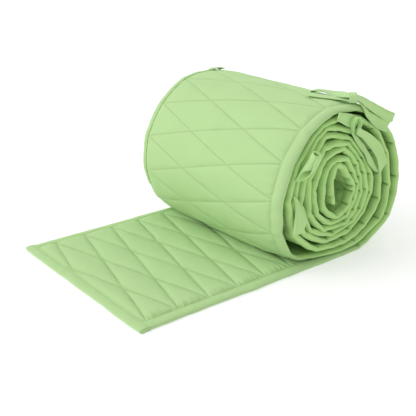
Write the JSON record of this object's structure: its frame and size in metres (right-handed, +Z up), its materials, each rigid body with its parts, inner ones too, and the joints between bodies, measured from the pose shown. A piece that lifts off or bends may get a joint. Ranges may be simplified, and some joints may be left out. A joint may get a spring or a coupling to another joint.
{
  "type": "quilted crib bumper",
  "caption": "Long quilted crib bumper strip, flat at one end and wound into a roll at the other, with bound edges and flat fabric ties.",
  "frame": {"origin": "on the surface the strip rests on, in the middle of the object's length along X and of the strip's width along Y", "axes": "+X along the flat run from its free end towards the roll, +Y along the roll's axis from the edge with the ties to the other, +Z up"},
  "size_m": [0.4605, 0.3229, 0.2328],
  "materials": {
    "quilted_cotton": "matte plain-weave cotton",
    "binding_cotton": "matte plain-weave cotton",
    "tie_cotton": "matte plain-weave cotton"
  },
  "bodies": {
    "root": {"quilted_panel": "quilted_cotton", "edge_binding_near": "binding_cotton", "edge_binding_far": "binding_cotton", "end_binding_free": "binding_cotton", "end_binding_inner": "binding_cotton", "tie_top": "tie_cotton", "tie_top_knot": "tie_cotton", "tie_inner": "tie_cotton", "tie_inner_loop": "tie_cotton", "tie_left": "tie_cotton", "tie_low": "tie_cotton", "tie_far": "tie_cotton"}
  },
  "joints": []
}
